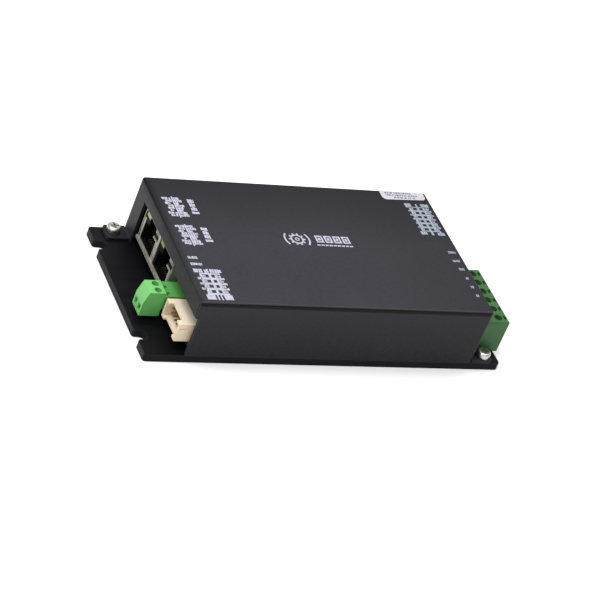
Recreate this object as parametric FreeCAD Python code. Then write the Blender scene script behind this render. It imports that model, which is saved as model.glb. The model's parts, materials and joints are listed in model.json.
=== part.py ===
import FreeCAD, Part
import math
import os

# Stepper driver module. Millimetres, +Z up, X along the long side, the RJ45
# end at -X. The origin is the centre of the base plate's underside.

V = FreeCAD.Vector

# Base plate
PLATE_LENGTH = 143.4
PLATE_WIDTH = 70.0
PLATE_THICKNESS = 3.0
PLATE_CORNER_RADIUS = 1.2
NOTCH_RADIUS = 2.25
NOTCH_X = 69.5
NOTCH_Y = 24.5
NOTCH_MOUTH_RADIUS = 1.2
TAPPED_RADIUS = 1.52

# Folded cover
COVER_LEFT = -57.8
COVER_RIGHT = 59.4
COVER_HALF_WIDTH = 35.0
COVER_TOP = 27.1
SHEET = 1.2
BEND_RADIUS = 0.7
CORNER_RADIUS = 1.2
SEAM = 0.15
WALL_SETBACK = 0.1
SEAM_TOP_MARGIN = 1.4
JACK_CUTOUT_BACK = 26.9
JACK_CUTOUT_FRONT = -8.0
JACK_CUTOUT_TOP = 21.7
HEADER_CUTOUT_TOP = 19.6
POWER_CUTOUT_FRONT = -28.9
RIGHT_CUTOUT_BACK = 27.9
RIGHT_CUTOUT_TOP = 19.0
EAR_LENGTH = 8.9
LEFT_EAR_DEPTH = 7.6
RIGHT_EAR_DEPTH = 5.9
EAR_CORNER_RADIUS = 1.5
EAR_BEND_RADIUS = 0.8
EAR_HOLE_RADIUS = 1.7
LEFT_EAR_SCREW = (-63.2, 31.8)
RIGHT_EAR_SCREW = (65.0, -32.0)

# Screws
SHANK_RADIUS = 1.5
HEAD_RADIUS = 2.7
HEAD_HEIGHT = 1.8
HEAD_DOME = 0.9
WASHER_RADIUS = 2.6
WASHER_THICKNESS = 0.6
COVER_SCREW_LENGTH = 4.0
BOARD_SCREW_LENGTH = 6.2

# Circuit board
BOARD_LEFT = -55.9
BOARD_RIGHT = 57.4
BOARD_HALF_WIDTH = 33.3
BOARD_BOTTOM = 5.5
BOARD_TOP = 7.1
BOARD_SCREW_X = (-28.0, 42.0)
BOARD_SCREW_Y = (-29.5, 29.5)
BOARD_HOLE_RADIUS = 1.65
SPACER_RADIUS = 3.0
PIN_TAIL_END = 4.5
PIN_HOLE_CLEARANCE = 0.12

# Double RJ45 jack
JACK_FRONT = -56.7
JACK_DEPTH = 18.0
JACK_Y0 = -6.3
JACK_Y1 = 25.2
JACK_TOP = 20.5
SHIELD_WALL = 0.35
DIVIDER_WIDTH = 1.3
LIP_FRONT = -57.3
LIP_BACK = -55.4
LIP_TOP = 8.3
PORT_WIDTH = 11.9
PORT_FLOOR = 8.7
PORT_SHOULDER = 15.9
LATCH_WIDTH = 6.2
LATCH_TOP = 19.5
PORT_DEPTH = 13.6
LED_WIDTH = 3.4
LED_HEIGHT = 1.7
LED_TOP = 20.0
LED_DEPTH = 5.0
FACE_SHEET = 0.3
FACE_TAB_HEIGHT = 0.6
FACE_NEAR_WIDTH = 1.1
FACE_MIDDLE_WIDTH = 2.5
FACE_FAR_WIDTH = 0.9
FACE_FAR_TOP = 17.2
CONTACT_COUNT = 8
CONTACT_PITCH = 1.02
CONTACT_WIDTH = 0.36
CONTACT_RISE = 3.4
TAIL_X = -43.9

# Two-way control plug and its header
CTRL_Y = -12.7
CTRL_PITCH = 3.5
CTRL_PLUG_FRONT = -68.8
CTRL_PLUG_BACK = -61.2
CTRL_PLUG_WIDTH = 7.2
CTRL_PLUG_BOTTOM = 4.9
CTRL_PLUG_TOP = 15.2
CTRL_SLANT_Z = 10.4
CTRL_SLANT_X = -67.4
CTRL_NOSE_TIP = -53.4
CTRL_NOSE_HALF_WIDTH = 3.1
CTRL_NOSE_BOTTOM = 8.4
CTRL_NOSE_TOP = 13.1
CTRL_HEADER_FRONT = -60.2
CTRL_HEADER_BACK = -51.5
CTRL_HEADER_WIDTH = 8.4
CTRL_HEADER_TOP = 14.3
CTRL_WALL = 0.8
CTRL_HEADER_NOTCH = (0.9, 1.1)
CTRL_PIN = 0.9
CTRL_PIN_Z = 10.7
CTRL_SCREW_X = -63.8
CTRL_STRIP_TOP = 11.95
CTRL_STRIP = 0.5

# Six-way power plug and its header
POWER_WAYS = 6
POWER_PITCH = 5.0
POWER_FIRST_Y = -25.9
POWER_PLUG_Y0 = -28.3
POWER_PLUG_Y1 = 1.5
POWER_PLUG_BACK = 60.0
POWER_PLUG_FRONT = 73.0
POWER_PLUG_BOTTOM = 3.4
POWER_PLUG_TOP = 17.6
POWER_NOSE_TIP = 51.3
POWER_NOSE_INSET = 0.7
POWER_NOSE_BOTTOM = 8.4
POWER_NOSE_TOP = 14.3
POWER_HEADER_BACK = 49.6
POWER_HEADER_FRONT = 59.6
POWER_HEADER_TOP = 15.6
POWER_HEADER_MARGIN = 0.3
POWER_PIN = 1.0
POWER_PIN_Z = 11.35
POWER_SCREW_X = 68.9
POWER_STRIP_TOP = 12.85
POWER_STRIP = 0.7
MARKER_SLOT_X0 = 71.1
MARKER_SLOT_X1 = 72.2
MARKER_SLOT_WIDTH = 1.9
MARKER_SLOT_DEPTH = 1.3

# Double-row signal headers
SIGNAL_PITCH = 2.0
SIGNAL_WALL = 0.9
SIGNAL_HEIGHT = 7.5
SIGNAL_DEPTH = 9.0
SIGNAL_OVERHANG = 3.5
SIGNAL_PIN = 0.5
IO_COLUMNS = 6
IO_Y = -25.1
IO_WIDTH = 13.9
MOTOR_COLUMNS = 7
MOTOR_Y = 18.7
MOTOR_WIDTH = 15.9
KEY_NOTCH_DEPTH = 2.0
KEY_NOTCH_MARGIN = 2.5
LOWER_NOTCH_DEPTH = 1.2
FLANK_GROOVE_Z = 12.6

# Parts on the board
PAD_THICKNESS = 1.4
TRANSISTOR_SIZE = (5.0, 6.0, 1.1)
TRANSISTOR_COLUMNS = (-4.0, 4.0, 12.0, 20.0)
TRANSISTOR_ROWS = (-8.0, 8.0)
CAPACITOR_RADIUS = 6.25
CAPACITOR_HEIGHT = 16.0
CAPACITOR_PLACES = ((33.0, -14.0), (33.0, 2.0))
INDUCTOR_PLACE = (33.0, 18.0)
CHIP_PLACE = (-8.0, -2.0)
DRIVER_PLACES = ((-26.0, 17.3), (-26.0, 1.6))
RESISTOR_PLACES = ((14.0, -16.0), (14.0, 16.0))

# Seal label over the back right corner
LABEL_X0 = 39.3
LABEL_X1 = 58.1
LABEL_Y0 = 29.4
LABEL_SKEW = 0.7
LABEL_DROP = 6.0
LABEL_THICKNESS = 0.12
LABEL_CORNER = 1.8


def box(x0, x1, y0, y1, z0, z1):
    return Part.makeBox(x1 - x0, y1 - y0, z1 - z0, V(x0, y0, z0))


def rod(radius, x, y, z0, z1):
    return Part.makeCylinder(radius, z1 - z0, V(x, y, z0))


def prism_y(points, y0, y1):
    """Closed XZ outline pushed along Y."""
    corners = [V(x, y0, z) for x, z in points]
    corners.append(corners[0])
    face = Part.Face(Part.makePolygon(corners))
    return face.extrude(V(0, y1 - y0, 0))


def edges_along(shape, direction, test):
    """Straight edges of a shape that run along one axis and pass a test."""
    found = []
    for edge in shape.Edges:
        if len(edge.Vertexes) != 2:
            continue
        start = edge.Vertexes[0].Point
        end = edge.Vertexes[1].Point
        run = end - start
        if run.Length < 1e-6:
            continue
        run.normalize()
        if abs(abs(run.dot(direction)) - 1.0) < 1e-6 and test((start + end) * 0.5):
            found.append(edge)
    return found


def export(name, solids):
    shape = solids[0] if len(solids) == 1 else Part.makeCompound(solids)
    shape.exportStep("parts/" + name + ".step")


def cross_recess(x, y, top, width, slot, depth):
    """The two crossed cuts in a screw head."""
    along = box(x - width / 2, x + width / 2, y - slot / 2, y + slot / 2, top - depth, top + 1)
    across = box(x - slot / 2, x + slot / 2, y - width / 2, y + width / 2, top - depth, top + 1)
    return along.fuse(across)


def pan_screw(x, y, seat, length):
    """Pan-head screw whose head sits on the height given as seat."""
    head = rod(HEAD_RADIUS, x, y, seat, seat + HEAD_HEIGHT)
    rim = [e for e in head.Edges if abs(e.CenterOfMass.z - seat - HEAD_HEIGHT) < 1e-6]
    head = head.makeFillet(HEAD_DOME, rim)
    shank = rod(SHANK_RADIUS, x, y, seat - length, seat)
    screw = head.fuse(shank).removeSplitter()
    return screw.cut(cross_recess(x, y, seat + HEAD_HEIGHT, 3.0, 0.7, 1.1))


def notch(side_x, side_y):
    """One open mounting notch with rounded mouth corners."""
    x = side_x * NOTCH_X
    y = side_y * NOTCH_Y
    edge = side_x * PLATE_LENGTH / 2
    z0 = -1
    z1 = PLATE_THICKNESS + 1
    cut = rod(NOTCH_RADIUS, x, y, z0, z1)
    outer = edge + side_x
    cut = cut.fuse(box(min(x, outer), max(x, outer), y - NOTCH_RADIUS, y + NOTCH_RADIUS, z0, z1))
    inner = edge - side_x * NOTCH_MOUTH_RADIUS
    for side in (-1, 1):
        wall = y + side * NOTCH_RADIUS
        far = wall + side * NOTCH_MOUTH_RADIUS
        flare = box(min(inner, outer), max(inner, outer), min(wall, far), max(wall, far), z0, z1)
        flare = flare.cut(rod(NOTCH_MOUTH_RADIUS, inner, far, z0, z1))
        cut = cut.fuse(flare)
    return cut


def base_plate():
    half = PLATE_LENGTH / 2
    plate = box(-half, half, -PLATE_WIDTH / 2, PLATE_WIDTH / 2, 0, PLATE_THICKNESS)
    corners = edges_along(plate, V(0, 0, 1), lambda point: True)
    plate = plate.makeFillet(PLATE_CORNER_RADIUS, corners)
    for side_x in (-1, 1):
        for side_y in (-1, 1):
            plate = plate.cut(notch(side_x, side_y))
    for x, y in (LEFT_EAR_SCREW, RIGHT_EAR_SCREW):
        plate = plate.cut(rod(TAPPED_RADIUS, x, y, -1, PLATE_THICKNESS + 1))
    for x in BOARD_SCREW_X:
        for y in BOARD_SCREW_Y:
            plate = plate.cut(rod(TAPPED_RADIUS, x, y, -1, PLATE_THICKNESS + 1))
    return plate


def ear(side, y_outer, depth, screw):
    """Foot of an end wall, bent outwards flat on the plate."""
    wall = COVER_LEFT if side < 0 else COVER_RIGHT
    tip = wall + side * EAR_LENGTH
    towards = 1 if y_outer < 0 else -1
    y_inner = y_outer + towards * depth
    y_wall = y_outer + towards * (SHEET + SEAM)
    root = wall - side * SHEET
    low = PLATE_THICKNESS
    high = low + SHEET
    tab = box(min(wall, tip), max(wall, tip), min(y_outer, y_inner), max(y_outer, y_inner), low, high)
    outer = edges_along(tab, V(0, 0, 1), lambda point: abs(point.x - tip) < 1e-6)
    tab = tab.makeFillet(EAR_CORNER_RADIUS, outer)
    y0 = min(y_wall, y_inner)
    y1 = max(y_wall, y_inner)
    bend = wall + side * EAR_BEND_RADIUS
    foot = box(min(root, wall), max(root, wall), y0, y1, low, high + EAR_BEND_RADIUS)
    fold = box(min(wall, bend), max(wall, bend), y0, y1, high, high + EAR_BEND_RADIUS)
    hollow = Part.makeCylinder(EAR_BEND_RADIUS, y1 - y0, V(bend, y0, high + EAR_BEND_RADIUS),
                               V(0, 1, 0))
    tab = tab.fuse([foot, fold.cut(hollow)]).removeSplitter()
    return tab.cut(rod(EAR_HOLE_RADIUS, screw[0], screw[1], 0, COVER_TOP))


def corner_seam(side_x, side_y):
    """Gap at one upright corner: the end wall stops behind the long wall."""
    wall = COVER_LEFT if side_x < 0 else COVER_RIGHT
    outside = wall + side_x
    inner = wall - side_x * (SHEET + SEAM)
    setback = wall - side_x * WALL_SETBACK
    face = side_y * (COVER_HALF_WIDTH + 1)
    edge = side_y * (COVER_HALF_WIDTH - SHEET)
    gap = side_y * (COVER_HALF_WIDTH - SHEET - SEAM)
    z0 = PLATE_THICKNESS - 1
    z1 = COVER_TOP - SEAM_TOP_MARGIN
    slit = box(min(outside, inner), max(outside, inner), min(gap, edge), max(gap, edge), z0, z1)
    step = box(min(outside, setback), max(outside, setback), min(edge, face), max(edge, face), z0, z1)
    return slit.fuse(step)


def cover():
    half = COVER_HALF_WIDTH
    floor = PLATE_THICKNESS
    shell = box(COVER_LEFT, COVER_RIGHT, -half, half, floor, COVER_TOP)
    corners = edges_along(shell, V(0, 0, 1), lambda point: True)
    shell = shell.makeFillet(CORNER_RADIUS, corners)
    rim = [edge for edge in shell.Edges if edge.BoundBox.ZMin > COVER_TOP - 1e-6]
    shell = shell.makeFillet(BEND_RADIUS, rim)
    inner_top = COVER_TOP - SHEET
    room = box(COVER_LEFT + SHEET, COVER_RIGHT - SHEET, -half + SHEET, half - SHEET,
               floor - 1, inner_top)
    shell = shell.cut(room)
    for side_x in (-1, 1):
        for side_y in (-1, 1):
            shell = shell.cut(corner_seam(side_x, side_y))
    left = COVER_LEFT - 1
    left_inner = COVER_LEFT + SHEET + SEAM
    shell = shell.cut(box(left, left_inner, JACK_CUTOUT_FRONT, JACK_CUTOUT_BACK, floor - 1,
                          JACK_CUTOUT_TOP))
    shell = shell.cut(box(left, left_inner, -half - 1, JACK_CUTOUT_FRONT, floor - 1,
                          HEADER_CUTOUT_TOP))
    shell = shell.cut(box(COVER_RIGHT - SHEET - SEAM, COVER_RIGHT + 1, POWER_CUTOUT_FRONT,
                          RIGHT_CUTOUT_BACK, floor - 1, RIGHT_CUTOUT_TOP))
    shell = shell.fuse(ear(-1, half, LEFT_EAR_DEPTH, LEFT_EAR_SCREW))
    shell = shell.fuse(ear(1, -half, RIGHT_EAR_DEPTH, RIGHT_EAR_SCREW))
    return shell.removeSplitter()


def cover_washers():
    seat = PLATE_THICKNESS + SHEET
    rings = []
    for x, y in (LEFT_EAR_SCREW, RIGHT_EAR_SCREW):
        ring = rod(WASHER_RADIUS, x, y, seat, seat + WASHER_THICKNESS)
        rings.append(ring.cut(rod(EAR_HOLE_RADIUS, x, y, 0, COVER_TOP)))
    return rings


def cover_screws():
    seat = PLATE_THICKNESS + SHEET + WASHER_THICKNESS
    places = (LEFT_EAR_SCREW, RIGHT_EAR_SCREW)
    return [pan_screw(x, y, seat, COVER_SCREW_LENGTH) for x, y in places]


def board_spacers():
    tubes = []
    for x in BOARD_SCREW_X:
        for y in BOARD_SCREW_Y:
            tube = rod(SPACER_RADIUS, x, y, PLATE_THICKNESS, BOARD_BOTTOM)
            tubes.append(tube.cut(rod(BOARD_HOLE_RADIUS, x, y, 0, COVER_TOP)))
    return tubes


def board_screws():
    places = [(x, y) for x in BOARD_SCREW_X for y in BOARD_SCREW_Y]
    return [pan_screw(x, y, BOARD_TOP, BOARD_SCREW_LENGTH) for x, y in places]


def power_y(way):
    return POWER_FIRST_Y + POWER_PITCH * way


def control_y(way):
    return CTRL_Y + CTRL_PITCH * (way - 0.5)


def port_centres():
    quarter = (JACK_Y1 - JACK_Y0) / 4
    middle = (JACK_Y0 + JACK_Y1) / 2
    return (middle - quarter, middle + quarter)


def contact_y(port, index):
    return port + (index - (CONTACT_COUNT - 1) / 2) * CONTACT_PITCH


def contact_tail_x(index):
    return TAIL_X if index % 2 == 0 else TAIL_X + 1.8


def signal_columns(centre, columns):
    start = centre - (columns - 1) / 2 * SIGNAL_PITCH
    return [start + SIGNAL_PITCH * column for column in range(columns)]


def signal_tails(side, centre, columns):
    """Board positions of a double-row header's pins."""
    wall = COVER_LEFT if side < 0 else COVER_RIGHT
    back = wall + side * (SIGNAL_OVERHANG - SIGNAL_DEPTH)
    places = []
    for y in signal_columns(centre, columns):
        places.append((back - side * 0.8, y))
        places.append((back - side * 2.8, y))
    return places


def pin_holes():
    """Every pin hole in the board as x, y and radius."""
    holes = []
    for side, centre, columns in ((-1, IO_Y, IO_COLUMNS), (1, MOTOR_Y, MOTOR_COLUMNS)):
        for x, y in signal_tails(side, centre, columns):
            holes.append((x, y, SIGNAL_PIN * 0.71 + PIN_HOLE_CLEARANCE))
    for way in (0, 1):
        x = CTRL_HEADER_BACK + CTRL_PIN / 2
        holes.append((x, control_y(way), CTRL_PIN * 0.71 + PIN_HOLE_CLEARANCE))
    for way in range(POWER_WAYS):
        x = POWER_HEADER_BACK - POWER_PIN / 2
        holes.append((x, power_y(way), POWER_PIN * 0.71 + PIN_HOLE_CLEARANCE))
    for port in port_centres():
        for index in range(CONTACT_COUNT):
            place = (contact_tail_x(index) + CONTACT_WIDTH / 2, contact_y(port, index))
            holes.append((place[0], place[1], CONTACT_WIDTH * 0.71 + PIN_HOLE_CLEARANCE))
    return holes


def circuit_board():
    board = box(BOARD_LEFT, BOARD_RIGHT, -BOARD_HALF_WIDTH, BOARD_HALF_WIDTH, BOARD_BOTTOM,
                BOARD_TOP)
    cuts = [rod(radius, x, y, 0, BOARD_TOP + 1) for x, y, radius in pin_holes()]
    for x in BOARD_SCREW_X:
        for y in BOARD_SCREW_Y:
            cuts.append(rod(BOARD_HOLE_RADIUS, x, y, 0, BOARD_TOP + 1))
    return board.cut(Part.makeCompound(cuts))


def rj45_shield():
    back = JACK_FRONT + JACK_DEPTH
    wall = SHIELD_WALL
    middle = (JACK_Y0 + JACK_Y1) / 2
    shell = box(JACK_FRONT, back, JACK_Y0, JACK_Y1, BOARD_TOP, JACK_TOP)
    inner_half = DIVIDER_WIDTH / 2
    for y0, y1 in ((JACK_Y0 + wall, middle - inner_half), (middle + inner_half, JACK_Y1 - wall)):
        shell = shell.cut(box(JACK_FRONT - 1, back - wall, y0, y1, BOARD_TOP - 1, JACK_TOP - wall))
    groove = box(LIP_BACK + 2, back + 1, middle - inner_half + wall, middle + inner_half - wall,
                 BOARD_TOP - 1, JACK_TOP - wall)
    shell = shell.cut(groove)
    lip = box(LIP_FRONT, LIP_BACK, JACK_Y0, JACK_Y1, BOARD_TOP, LIP_TOP)
    shell = shell.fuse(lip)
    return shell.fuse(face_strips()).removeSplitter()


def face_strips():
    """Flat strips of the shield that frame both mouths, and a tab under each near lamp."""
    half = PORT_WIDTH / 2
    first, second = port_centres()
    near_top = PORT_SHOULDER + FACE_TAB_HEIGHT
    near = first - half
    middle = second - half
    far = second + half
    uprights = ((near - FACE_NEAR_WIDTH, near, near_top),
                (middle - FACE_MIDDLE_WIDTH, middle, near_top),
                (far, far + FACE_FAR_WIDTH, FACE_FAR_TOP))
    back = JACK_FRONT + FACE_SHEET
    strips = [box(JACK_FRONT, back, y0, y1, BOARD_TOP, top) for y0, y1, top in uprights]
    for port in (first, second):
        strips.append(box(JACK_FRONT, back, port - half, port - LATCH_WIDTH / 2, PORT_SHOULDER,
                          near_top))
    return strips


def jack_block_limits(port):
    half = (JACK_Y1 - JACK_Y0) / 4
    middle = (JACK_Y0 + JACK_Y1) / 2
    if port < middle:
        return JACK_Y0 + SHIELD_WALL, middle - DIVIDER_WIDTH / 2
    return middle + DIVIDER_WIDTH / 2, JACK_Y1 - SHIELD_WALL


def port_cavity(port):
    front = JACK_FRONT - 1
    back = JACK_FRONT + PORT_DEPTH
    half = PORT_WIDTH / 2
    mouth = box(front, back, port - half, port + half, PORT_FLOOR, PORT_SHOULDER)
    latch = box(front, back, port - LATCH_WIDTH / 2, port + LATCH_WIDTH / 2, PORT_FLOOR, LATCH_TOP)
    return mouth.fuse(latch)


def led_box(port, side, grow):
    inner = port + side * (LATCH_WIDTH / 2 + 0.2)
    outer = inner + side * LED_WIDTH
    front = JACK_FRONT + FACE_SHEET
    return box(front - grow, front + LED_DEPTH, min(inner, outer), max(inner, outer),
               LED_TOP - LED_HEIGHT, LED_TOP)


def rj45_housing():
    blocks = []
    back = JACK_FRONT + JACK_DEPTH - SHIELD_WALL
    for port in port_centres():
        y0, y1 = jack_block_limits(port)
        block = box(JACK_FRONT + FACE_SHEET, back, y0, y1, BOARD_TOP, JACK_TOP - SHIELD_WALL)
        block = block.cut(box(JACK_FRONT, LIP_BACK, y0, y1, BOARD_TOP, LIP_TOP))
        block = block.cut(port_cavity(port))
        for side in (-1, 1):
            block = block.cut(led_box(port, side, 1))
        for index in range(CONTACT_COUNT):
            x = contact_tail_x(index)
            y = contact_y(port, index)
            half = CONTACT_WIDTH / 2 + 0.05
            block = block.cut(box(x - 1.5, x + CONTACT_WIDTH + 0.05, y - half, y + half,
                                  BOARD_TOP - 1, PORT_FLOOR + CONTACT_RISE + 0.1))
        blocks.append(block)
    return blocks


def rj45_leds(side):
    """The lamps on one side of both ports."""
    return [led_box(port, side, 0) for port in port_centres()]


def rj45_contacts():
    """Sprung wires of both jacks, each bent from its board tail to the mouth."""
    wires = []
    w = CONTACT_WIDTH
    mouth_x = JACK_FRONT + 2.6
    for port in port_centres():
        for index in range(CONTACT_COUNT):
            y = contact_y(port, index)
            x = contact_tail_x(index)
            outline = [(x, PIN_TAIL_END), (x + w, PIN_TAIL_END), (x + w, PORT_FLOOR + CONTACT_RISE),
                       (x - 0.1, PORT_FLOOR + CONTACT_RISE), (mouth_x, PORT_FLOOR + 0.6),
                       (mouth_x, PORT_FLOOR + 0.6 - w), (x, PORT_FLOOR + CONTACT_RISE - w)]
            wires.append(prism_y(outline, y - w / 2, y + w / 2))
    return wires


def signal_header(side, centre, columns, width):
    """Side-entry box header with two rows of pins and keyed walls."""
    wall_x = COVER_LEFT if side < 0 else COVER_RIGHT
    front = wall_x + side * SIGNAL_OVERHANG
    back = front - side * SIGNAL_DEPTH
    y0 = centre - width / 2
    y1 = centre + width / 2
    top = BOARD_TOP + SIGNAL_HEIGHT
    body = box(min(front, back), max(front, back), y0, y1, BOARD_TOP, top)
    floor_x = back + side * 1.6
    outer = front + side
    body = body.cut(box(min(floor_x, outer), max(floor_x, outer), y0 + SIGNAL_WALL,
                        y1 - SIGNAL_WALL, BOARD_TOP + SIGNAL_WALL, top - SIGNAL_WALL))
    key = front - side * KEY_NOTCH_DEPTH
    body = body.cut(box(min(key, outer), max(key, outer), y0 + KEY_NOTCH_MARGIN,
                        y1 - KEY_NOTCH_MARGIN, top - SIGNAL_WALL - 0.1, top + 1))
    low = front - side * LOWER_NOTCH_DEPTH
    body = body.cut(box(min(low, outer), max(low, outer), y0 + KEY_NOTCH_MARGIN,
                        y1 - KEY_NOTCH_MARGIN, BOARD_TOP - 1, BOARD_TOP + SIGNAL_WALL + 0.1))
    for y in (y0 - 1, y1 - 0.25):
        groove_end = front - side * 3.4
        groove_start = front - side * 0.7
        body = body.cut(box(min(groove_end, groove_start), max(groove_end, groove_start), y,
                            y + 1.25, FLANK_GROOVE_Z - 0.3, FLANK_GROOVE_Z + 0.3))
    for y in signal_columns(centre, columns):
        for z in signal_rows():
            half = SIGNAL_PIN / 2
            body = body.cut(box(min(back - side, floor_x + side), max(back - side, floor_x + side),
                                y - half, y + half, z - half, z + half))
    return body.removeSplitter()


def signal_rows():
    middle = BOARD_TOP + SIGNAL_HEIGHT / 2
    return (middle - SIGNAL_PITCH / 2, middle + SIGNAL_PITCH / 2)


def signal_pins(side, centre, columns):
    """Right-angle pins: the lower row turns down nearest the body."""
    wall_x = COVER_LEFT if side < 0 else COVER_RIGHT
    tip = wall_x + side * (SIGNAL_OVERHANG - 2.2)
    half = SIGNAL_PIN / 2
    pins = []
    places = signal_tails(side, centre, columns)
    rows = signal_rows()
    for number, (x, y) in enumerate(places):
        z = rows[number % 2]
        level = box(min(tip, x - side * half), max(tip, x - side * half), y - half, y + half,
                    z - half, z + half)
        tail = box(x - half, x + half, y - half, y + half, PIN_TAIL_END, z + half)
        pins.append(level.fuse(tail).removeSplitter())
    return pins


def control_header():
    y0 = CTRL_Y - CTRL_HEADER_WIDTH / 2
    y1 = CTRL_Y + CTRL_HEADER_WIDTH / 2
    body = box(CTRL_HEADER_FRONT, CTRL_HEADER_BACK, y0, y1, BOARD_TOP, CTRL_HEADER_TOP)
    body = body.cut(box(CTRL_HEADER_FRONT - 1, CTRL_HEADER_BACK - 1.5, y0 + CTRL_WALL,
                        y1 - CTRL_WALL, BOARD_TOP + 1.0, CTRL_HEADER_TOP - 0.9))
    half = CTRL_PIN / 2
    notch_depth, notch_width = CTRL_HEADER_NOTCH
    for way in (0, 1):
        y = control_y(way)
        notch_y = y - 0.5
        body = body.cut(box(CTRL_HEADER_FRONT - 1, CTRL_HEADER_FRONT + notch_depth,
                            notch_y - notch_width / 2, notch_y + notch_width / 2,
                            CTRL_HEADER_TOP - 1.0, CTRL_HEADER_TOP + 1))
        body = body.cut(box(CTRL_HEADER_BACK - 3, CTRL_HEADER_BACK + 1, y - half, y + half,
                            CTRL_PIN_Z - half, CTRL_PIN_Z + half))
    return body


def control_header_pins():
    half = CTRL_PIN / 2
    pins = []
    for way in (0, 1):
        y = control_y(way)
        level = box(CTRL_HEADER_FRONT + 1.4, CTRL_HEADER_BACK + CTRL_PIN, y - half, y + half,
                    CTRL_PIN_Z - half, CTRL_PIN_Z + half)
        tail = box(CTRL_HEADER_BACK, CTRL_HEADER_BACK + CTRL_PIN, y - half, y + half,
                   PIN_TAIL_END, CTRL_PIN_Z + half)
        pins.append(level.fuse(tail).removeSplitter())
    return pins


class Clamp:
    """Sizes of one rising-cage wire clamp, along the wire, across it and up."""

    def __init__(self, wire_side, x, cage_length, cage_width, cage_side, room, cage_floor, bar,
                 jaw, tongue_under, tongue, lid, travel, thread, head, head_height, entry_width):
        self.wire_side = wire_side
        self.x = x
        self.cage_length = cage_length
        self.cage_width = cage_width
        self.cage_side = cage_side
        self.room = room
        self.cage_floor = cage_floor
        self.jaw_floor = cage_floor + bar
        self.jaw_top = self.jaw_floor + jaw
        self.cage_top = self.jaw_top + lid
        self.tongue_under = tongue_under
        self.tongue_top = tongue_under + tongue
        self.travel = travel
        self.shoulder = self.cage_top + travel + 0.25
        self.head_seat = self.shoulder + 0.35
        self.head_top = self.head_seat + head_height
        self.thread = thread
        self.head = head
        self.entry_width = entry_width


CONTROL_CLAMP = Clamp(wire_side=-1, x=CTRL_SCREW_X, cage_length=2.8, cage_width=2.4,
                      cage_side=0.3, room=0.2, cage_floor=5.8, bar=0.6, jaw=3.0,
                      tongue_under=8.8, tongue=CTRL_STRIP, lid=1.1, travel=1.8, thread=0.8,
                      head=1.25, head_height=0.9, entry_width=2.1)
POWER_CLAMP = Clamp(wire_side=1, x=POWER_SCREW_X, cage_length=4.0, cage_width=3.6,
                    cage_side=0.4, room=0.2, cage_floor=4.8, bar=1.0, jaw=4.0,
                    tongue_under=9.0, tongue=POWER_STRIP, lid=1.6, travel=2.4, thread=1.3,
                    head=1.5, head_height=1.0, entry_width=3.4)


def clamp_room(clamp, y, face_x, body_top):
    """Space cut in a plug body for one clamp: cage, wire way and screw."""
    half_x = clamp.cage_length / 2 + clamp.room
    half_y = clamp.cage_width / 2 + clamp.room
    room = box(clamp.x - half_x, clamp.x + half_x, y - half_y, y + half_y,
               clamp.cage_floor - clamp.room, clamp.shoulder)
    outer = face_x + clamp.wire_side
    entry = box(min(clamp.x, outer), max(clamp.x, outer), y - clamp.entry_width / 2,
                y + clamp.entry_width / 2, clamp.jaw_floor - 0.4, clamp.tongue_under)
    neck = rod(clamp.thread + 0.2, clamp.x, y, clamp.shoulder - 1, clamp.head_seat + 1)
    well = rod(clamp.head + 0.09, clamp.x, y, clamp.head_seat - 0.05, body_top + 1)
    return room.fuse([entry, neck, well])


def clamp_cage(clamp, y):
    half_x = clamp.cage_length / 2
    half_y = clamp.cage_width / 2
    cage = box(clamp.x - half_x, clamp.x + half_x, y - half_y, y + half_y, clamp.cage_floor,
               clamp.cage_top)
    window = half_y - clamp.cage_side
    cage = cage.cut(box(clamp.x - half_x - 1, clamp.x + half_x + 1, y - window, y + window,
                        clamp.jaw_floor, clamp.jaw_top))
    return cage.cut(rod(clamp.thread + 0.06, clamp.x, y, clamp.jaw_top - 1, clamp.cage_top + 1))


def clamp_screw(clamp, y):
    head = rod(clamp.head, clamp.x, y, clamp.head_seat, clamp.head_top)
    shank = rod(clamp.thread, clamp.x, y, clamp.tongue_top + 0.25, clamp.head_seat)
    slot = 0.5 if clamp.head < 1.5 else 0.65
    recess = cross_recess(clamp.x, y, clamp.head_top, clamp.head * 1.35, slot,
                          (clamp.head_top - clamp.head_seat) * 0.6)
    return head.fuse(shank).removeSplitter().cut(recess)


def control_plug_body():
    y0 = CTRL_Y - CTRL_PLUG_WIDTH / 2
    y1 = CTRL_Y + CTRL_PLUG_WIDTH / 2
    outline = [(CTRL_PLUG_FRONT, CTRL_PLUG_BOTTOM), (CTRL_PLUG_BACK, CTRL_PLUG_BOTTOM),
               (CTRL_PLUG_BACK, CTRL_PLUG_TOP), (CTRL_SLANT_X, CTRL_PLUG_TOP),
               (CTRL_PLUG_FRONT, CTRL_SLANT_Z)]
    body = prism_y(outline, y0, y1)
    nose = box(CTRL_PLUG_BACK - 0.5, CTRL_NOSE_TIP, CTRL_Y - CTRL_NOSE_HALF_WIDTH,
               CTRL_Y + CTRL_NOSE_HALF_WIDTH, CTRL_NOSE_BOTTOM, CTRL_NOSE_TOP)
    body = body.fuse(nose)
    pin_low = CTRL_PIN_Z - CTRL_PIN / 2 - 0.3
    for way in (0, 1):
        y = control_y(way)
        body = body.cut(clamp_room(CONTROL_CLAMP, y, CTRL_PLUG_FRONT, CTRL_PLUG_TOP))
        body = body.cut(box(CTRL_SCREW_X, CTRL_NOSE_TIP + 1, y - 0.8, y + 0.8, pin_low,
                            CTRL_STRIP_TOP))
        body = body.cut(box(CTRL_SCREW_X - 2.2, CTRL_SCREW_X + 3.3, y - 0.7, y + 0.7,
                            CONTROL_CLAMP.tongue_under, CTRL_STRIP_TOP))
    return body.removeSplitter()


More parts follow.
